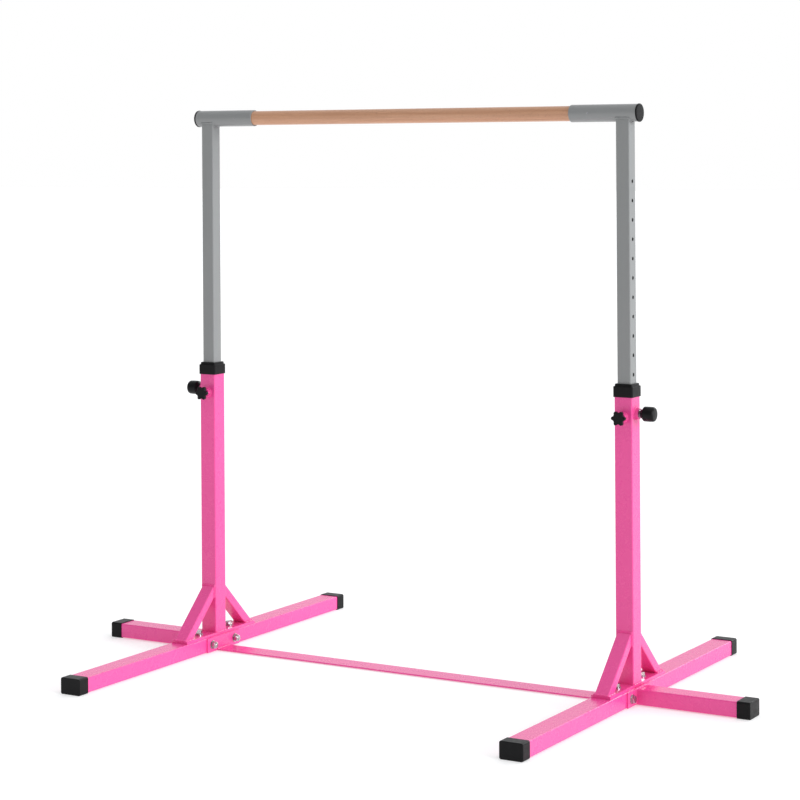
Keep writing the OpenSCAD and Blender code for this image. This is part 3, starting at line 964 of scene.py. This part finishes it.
class TRAININGBAR_OT_sockets(bpy.types.Operator):
    """Makes the sockets that hold the bar, their end caps and the bar screws"""

    bl_idname = "trainingbar.sockets"
    bl_label = "Make the sockets"

    def execute(self, context):
        for side, sign in SIDES.items():
            self.socket(side, sign)
            self.cap(side, sign)
        self.screws()
        return {"FINISHED"}

    def socket(self, side, sign):
        start, length, outer = along_x(f"{side}_socket", sign)
        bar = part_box("wooden_bar")
        inner = (bar[1].z - bar[0].z) / 2 + 0.4 * MM
        lip = 1 * MM
        outline = [(inner, length), (inner, 0.7 * MM), (inner + 0.7 * MM, 0)]
        outline += arc((outer - lip, lip), lip, -90, 0, 5)
        outline += [(outer, length - 0.4 * MM), (outer - 0.4 * MM, length)]
        bm = turned(outline, closed=True, steps=96)
        bm.transform(standing(start, sign * RIGHT))
        stand_for(f"{side}_socket", f"{side}_bar_socket", bm)

    def cap(self, side, sign):
        start, length, radius = along_x(f"{side}_socket_cap", sign)
        plug = radius - 3.8 * MM
        shelf = length - 5 * MM
        outline = [(plug - 2.6 * MM, shelf), (plug - 2.6 * MM, 0), (plug - 0.5 * MM, 0), (plug, 0.6 * MM)]
        outline += [(plug, shelf), (radius - 0.5 * MM, shelf), (radius, shelf + 0.5 * MM)]
        outline += arc((radius - 2 * MM, length - 2.2 * MM), 2 * MM, 0, 70, 6)
        outline += [(radius * 0.55, length - 0.1 * MM), (0, length)]
        bm = turned([(0, shelf)] + outline)
        bm.transform(standing(start, sign * RIGHT))
        stand_for(f"{side}_socket_cap", f"{side}_socket_end_cap", bm)

    def screws(self):
        low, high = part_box("bar_screws")
        radius = (high.z - low.z) / 2
        bm = bmesh.new()
        head = 3 * MM
        for x, twist in ((low.x + radius, 0.5), (high.x - radius, 0.9)):
            screw = self.screw(radius, head, high.y - low.y - head, twist)
            add(bm, screw, standing((x, low.y + head, (low.z + high.z) / 2), FORWARDS))
        stand_for("bar_screws", "bar_screw_pair", bm)

    def screw(self, radius, head, length, twist):
        """Pan-head screw with a cross recess. Its head stands on the XY plane, its shank below it."""
        outline = [(0, 0), (radius, 0), (radius, 0.9 * MM)]
        outline += arc((radius - 1.6 * MM, head - 1.6 * MM), 1.6 * MM, 10, 90, 6) + [(0, head)]
        bm = turned(outline, steps=48)
        cross = bmesh.new()
        for angle in (0, pi / 2):
            blade = bmesh.new()
            bmesh.ops.create_cube(blade, size=1)
            bmesh.ops.scale(blade, vec=(radius * 1.15, 1 * MM, 3 * MM), verts=blade.verts)
            lower = [v for v in blade.verts if v.co.z < 0]
            bmesh.ops.scale(blade, vec=(0.35, 0.6, 1), verts=lower)
            turn = Matrix.Rotation(angle + twist, 4, "Z")
            add(cross, blade, Matrix.Translation((0, 0, head - 0.2 * MM)) @ turn)
        bm = carve(bm, cross)
        core, sunk = 2 * MM, 0.1 * MM
        shank = turned([
            (0, -length), (0.6 * MM, -length), (core, 2.5 * MM - length), (core, sunk), (0, sunk)], steps=24)
        add(bm, shank)
        thread = helix([(1.9 * MM, 0), (2.4 * MM, 0.5 * MM), (1.9 * MM, 1 * MM)], 1.6 * MM, 8)
        add(bm, thread, Matrix.Translation((0, 0, 3 * MM - length)))
        return bm


class TRAININGBAR_OT_wooden_bar(bpy.types.Operator):
    """Turns the wooden bar"""

    bl_idname = "trainingbar.wooden_bar"
    bl_label = "Turn the wooden bar"

    def execute(self, context):
        low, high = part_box("wooden_bar")
        radius = (high.z - low.z) / 2
        length = high.x - low.x
        soft = 1.5 * MM
        outline = [(0, 0)] + arc((radius - soft, soft), soft, -90, 0, 4)
        outline += arc((radius - soft, length - soft), soft, 0, 90, 4) + [(0, length)]
        bm = turned(outline, steps=96)
        bm.transform(standing((low.x, 0, (low.z + high.z) / 2), RIGHT))
        stand_for("wooden_bar", "beech_bar", bm)
        return {"FINISHED"}


class TRAININGBAR_OT_locks(bpy.types.Operator):
    """Makes the lock pins with their barrels, springs and pull knobs"""

    bl_idname = "trainingbar.locks"
    bl_label = "Make the lock pins"

    def execute(self, context):
        for side, sign in SIDES.items():
            self.barrel(side, sign)
            self.spring(side, sign)
            self.pin(side, sign)
            self.knob(side, sign)
        return {"FINISHED"}

    def barrel(self, side, sign):
        start, length, radius = along_x(f"{side}_pin_barrel", sign)
        pitch = 1.5 * MM
        core = radius - THREAD_DEPTH * pitch
        bore = radius - 2 * MM
        stem = 3.1 * MM
        wall = 2.5 * MM
        bm = turned([
            (bore, 0), (core, 0), (core, length - 0.6 * MM), (core - 0.6 * MM, length),
            (stem, length), (stem, length - wall), (bore, length - wall)], closed=True)
        thread = helix(thread_section(core, radius, pitch), pitch, 11.5, 48)
        add(bm, thread, Matrix.Translation((0, 0, length - 12.6 * pitch)))
        bm.transform(standing(start, sign * RIGHT))
        stand_for(f"{side}_pin_barrel", f"{side}_threaded_barrel", bm)

    def spring(self, side, sign):
        start, length, radius = along_x(f"{side}_pin_spring", sign)
        wire = 0.45 * MM
        turns = 4
        section = arc((radius - wire, 0), wire, 0, 300, 5)
        bm = helix(section, (length - 2 * wire) / turns, turns, 20)
        bm.transform(standing(start + sign * RIGHT * wire, sign * RIGHT))
        made = stand_for(f"{side}_pin_spring", f"{side}_coil_spring", bm)
        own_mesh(made)

    def pin(self, side, sign):
        start, length, radius = along_x(f"{side}_lock_pin", sign)
        nose = 4.8 * MM
        lead = 0.8 * MM
        shoulder = 7.5 * MM
        shoulder_end = shoulder + 4 * MM
        soft = 0.3 * MM
        stem = 3 * MM
        outline = [(0, 0), (nose - lead, 0), (nose, lead), (nose, shoulder), (radius - soft, shoulder)]
        outline += [(radius, shoulder + soft), (radius, shoulder_end - soft), (radius - soft, shoulder_end)]
        outline += [(stem, shoulder_end), (stem, length - 0.5 * MM), (stem - 0.5 * MM, length), (0, length)]
        bm = turned(outline, steps=48)
        bm.transform(standing(start, sign * RIGHT))
        stand_for(f"{side}_lock_pin", f"{side}_spring_pin", bm)

    def knob(self, side, sign):
        start, length, radius = along_x(f"{side}_pull_knob", sign)
        neck = 11.75 * MM
        bore = 9.4 * MM
        depth = 4.3 * MM
        head = 8.2 * MM
        edge = 6 * MM
        outline = [(0, depth), (bore, depth), (bore, 0.5 * MM), (bore + 0.5 * MM, 0), (neck - 0.5 * MM, 0)]
        outline += [(neck, 0.5 * MM), (neck, 2.2 * MM), (neck + 0.4 * MM, 3 * MM)]
        outline += arc((radius - 1.6 * MM, head + 1.4 * MM), 1.3 * MM, -55, 0, 4)
        outline += [(radius, head + 9 * MM), (radius - 0.1 * MM, head + 18 * MM)]
        outline += arc((radius - 0.4 * MM - edge, length - edge - 0.6 * MM), edge, 4, 82, 8)
        outline += [(radius * 0.35, length - 0.1 * MM), (0, length)]
        bm = turned(outline)
        bm.transform(standing(start, sign * RIGHT))
        stand_for(f"{side}_pull_knob", f"{side}_pin_pull_knob", bm)


class TRAININGBAR_OT_clamps(bpy.types.Operator):
    """Makes the clamp screws and their star knobs"""

    bl_idname = "trainingbar.clamps"
    bl_label = "Make the clamp screws"

    def execute(self, context):
        for side in SIDES:
            low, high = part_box(f"{side}_clamp_screw")
            centre = middle(f"{side}_clamp_screw")
            length = high.y - low.y
            radius = (high.z - low.z) / 2
            screw = threaded(radius, 1.25 * MM, 0, length, 6 * MM, length - 4 * MM)
            screw.transform(standing((centre.x, high.y, centre.z), FORWARDS))
            stand_for(f"{side}_clamp_screw", f"{side}_clamp_stud", screw)
            self.star(side, context.scene.training_bar_details.star_lobes)
        return {"FINISHED"}

    def star(self, side, lobes):
        low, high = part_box(f"{side}_star_knob")
        centre = middle(f"{side}_star_knob")
        tip = (high.x - low.x) / 2
        hub, hub_height = 8 * MM, 5 * MM
        bore = 4.05 * MM
        height = high.y - low.y
        bm = bmesh.new()
        outline = [bm.verts.new((x, y, hub_height)) for x, y in lobed_outline(tip, lobes)]
        bm.faces.new(outline)
        bmesh.ops.translate(bm, vec=(0, 0, height - hub_height), verts=drawn_out(bm, bm.faces[:]))
        bmesh.ops.recalc_face_normals(bm, faces=bm.faces)
        ease(bm, 1.6 * MM, 3, edges=edges_at(bm, height))
        ease(bm, 1 * MM, 2, edges=edges_at(bm, hub_height))
        face = faces_at(bm, height)
        bmesh.ops.inset_region(bm, faces=face, thickness=1.5 * MM, use_even_offset=True)
        bmesh.ops.inset_region(bm, faces=face, thickness=0.7 * MM, depth=-0.7 * MM, use_even_offset=True)
        collar = turned([
            (bore, 0), (hub - 0.5 * MM, 0), (hub, 0.5 * MM), (hub, hub_height + 0.2 * MM),
            (bore, hub_height + 0.2 * MM)], closed=True)
        add(bm, collar)
        bm.transform(standing((centre.x, high.y, centre.z), FORWARDS))
        stand_for(f"{side}_star_knob", f"{side}_clamp_star_knob", bm)


def lobed_outline(tip, lobes):
    """Outline of round lobes joined by hollows, as (x, y) points."""
    lobe = 0.24 * tip
    waist = 0.74 * tip
    reach = tip - lobe
    half = pi / lobes
    hollow = (reach**2 + waist**2 - 2 * reach * waist * cos(half) - lobe**2) / (
        2 * (lobe - waist + reach * cos(half)))
    away = waist + hollow
    swing = atan2(away * sin(half), away * cos(half) - reach)
    points = []
    for k in range(lobes):
        turn = 2 * half * k
        lobe_centre = (reach * cos(turn), reach * sin(turn))
        for i in range(-5, 6):
            a = turn + swing * i / 5
            points.append((lobe_centre[0] + lobe * cos(a), lobe_centre[1] + lobe * sin(a)))
        middle_turn = turn + half
        hollow_centre = (away * cos(middle_turn), away * sin(middle_turn))
        to_lobe = atan2(lobe_centre[1] - hollow_centre[1], lobe_centre[0] - hollow_centre[0])
        facing = middle_turn + pi
        spread = (to_lobe - facing + pi) % (2 * pi) - pi
        for i in range(-2, 3):
            a = facing - spread * i / 3
            points.append((hollow_centre[0] + hollow * cos(a), hollow_centre[1] + hollow * sin(a)))
    return points


class TRAININGBAR_OT_stage(bpy.types.Operator):
    """Sets the floor, the lights and the camera"""

    bl_idname = "trainingbar.stage"
    bl_label = "Set the stage"

    def execute(self, context):
        stage = context.scene.training_bar_stage
        self.floor(stage)
        self.light(context)
        self.camera(context, stage)
        return {"FINISHED"}

    def floor(self, stage):
        bm = bmesh.new()
        bmesh.ops.create_grid(bm, x_segments=2, y_segments=2, size=60)
        mesh = bpy.data.meshes.new("studio_floor")
        bm.to_mesh(mesh)
        bm.free()
        paper = bpy.data.materials.new("Studio floor")
        paper.use_nodes = True
        shader = paper.node_tree.nodes["Principled BSDF"]
        shader.inputs["Base Color"].default_value = (*stage.floor, 1)
        shader.inputs["Roughness"].default_value = 0.8
        shader.inputs["Specular IOR Level"].default_value = 0.2
        shader.inputs["Emission Color"].default_value = (1, 1, 1, 1)
        shader.inputs["Emission Strength"].default_value = 0.38
        mesh.materials.append(paper)
        floor = bpy.data.objects.new("studio_floor", mesh)
        bpy.context.scene.collection.objects.link(floor)

    def light(self, context):
        scene = context.scene
        scene.world = bpy.data.worlds.new("Studio")
        scene.world.use_nodes = True
        tree = scene.world.node_tree
        sky = tree.nodes["Background"]
        sky.inputs["Color"].default_value = (0.97, 0.98, 1, 1)
        direction = tree.nodes.new("ShaderNodeTexCoord")
        split = tree.nodes.new("ShaderNodeSeparateXYZ")
        fade = tree.nodes.new("ShaderNodeMapRange")
        for key, value in (("From Min", -0.5), ("From Max", 0.7), ("To Min", 0.4), ("To Max", 0.95)):
            fade.inputs[key].default_value = value
        tree.links.new(direction.outputs["Generated"], split.inputs[0])
        tree.links.new(split.outputs["Y"], fade.inputs["Value"])
        tree.links.new(fade.outputs["Result"], sky.inputs["Strength"])
        seen = tree.nodes.new("ShaderNodeBackground")
        seen.inputs["Color"].default_value = (1, 1, 1, 1)
        seen.inputs["Strength"].default_value = 1
        path = tree.nodes.new("ShaderNodeLightPath")
        mix = tree.nodes.new("ShaderNodeMixShader")
        tree.links.new(path.outputs["Is Camera Ray"], mix.inputs[0])
        tree.links.new(sky.outputs[0], mix.inputs[1])
        tree.links.new(seen.outputs[0], mix.inputs[2])
        tree.links.new(mix.outputs[0], tree.nodes["World Output"].inputs["Surface"])
        for name, towards, strength, spread, colour in (
            ("overhead", (-0.1, 0.1, -1), 0.5, 60, (1, 1, 1)),
            ("rim", (-0.22, -0.88, -0.42), 0.6, 30, (1, 1, 1)),
            ("key", (-1, 0.05, -0.28), 1.7, 24, (0.96, 0.98, 1))):
            sun = bpy.data.lights.new(name, "SUN")
            sun.energy = strength
            sun.angle = radians(spread)
            sun.color = colour
            lamp = bpy.data.objects.new(name, sun)
            lamp.rotation_euler = Vector(towards).to_track_quat("-Z", "Y").to_euler()
            scene.collection.objects.link(lamp)
        scene.view_settings.view_transform = "Standard"

    def camera(self, context, stage):
        data = bpy.data.cameras.new("camera")
        data.sensor_width = 36
        data.lens = stage.lens
        data.shift_y = stage.rise
        camera = bpy.data.objects.new("camera", data)
        camera.matrix_world = (
            Matrix.Translation(stage.camera_place)
            @ Matrix.Rotation(stage.camera_turn, 4, "Z")
            @ Matrix.Rotation(pi / 2, 4, "X")
            @ Matrix.Rotation(-stage.camera_roll, 4, "Z"))
        context.scene.collection.objects.link(camera)
        context.scene.camera = camera


BUILD_ORDER = (
    TRAININGBAR_OT_finishes,
    TRAININGBAR_OT_tubes,
    TRAININGBAR_OT_plates,
    TRAININGBAR_OT_caps,
    TRAININGBAR_OT_collars,
    TRAININGBAR_OT_bosses,
    TRAININGBAR_OT_welds,
    TRAININGBAR_OT_fasteners,
    TRAININGBAR_OT_sockets,
    TRAININGBAR_OT_wooden_bar,
    TRAININGBAR_OT_locks,
    TRAININGBAR_OT_clamps,
    TRAININGBAR_OT_stage,
)


class TRAININGBAR_PT_panel(bpy.types.Panel):
    """Lists the steps that build the training bar"""

    bl_idname = "TRAININGBAR_PT_panel"
    bl_label = "Training Bar"
    bl_space_type = "VIEW_3D"
    bl_region_type = "UI"
    bl_category = "Training Bar"

    def draw(self, context):
        column = self.layout.column()
        for group in ("training_bar_finishes", "training_bar_details", "training_bar_stage"):
            settings = getattr(context.scene, group)
            for key in settings.__annotations__:
                column.prop(settings, key)
        for step in BUILD_ORDER:
            column.operator(step.bl_idname)


GROUPS = {
    "training_bar_finishes": TrainingBarFinishes,
    "training_bar_details": TrainingBarDetails,
    "training_bar_stage": TrainingBarStage,
}


def register():
    for kind in (*GROUPS.values(), *BUILD_ORDER, TRAININGBAR_PT_panel):
        bpy.utils.register_class(kind)
    for name, group in GROUPS.items():
        setattr(bpy.types.Scene, name, PointerProperty(type=group))


def unregister():
    for name in GROUPS:
        delattr(bpy.types.Scene, name)
    for kind in (TRAININGBAR_PT_panel, *reversed(BUILD_ORDER), *GROUPS.values()):
        bpy.utils.unregister_class(kind)


def main():
    register()
    for step in BUILD_ORDER:
        getattr(bpy.ops.trainingbar, step.bl_idname.split(".")[1])()


if __name__ == "__main__":
    main()
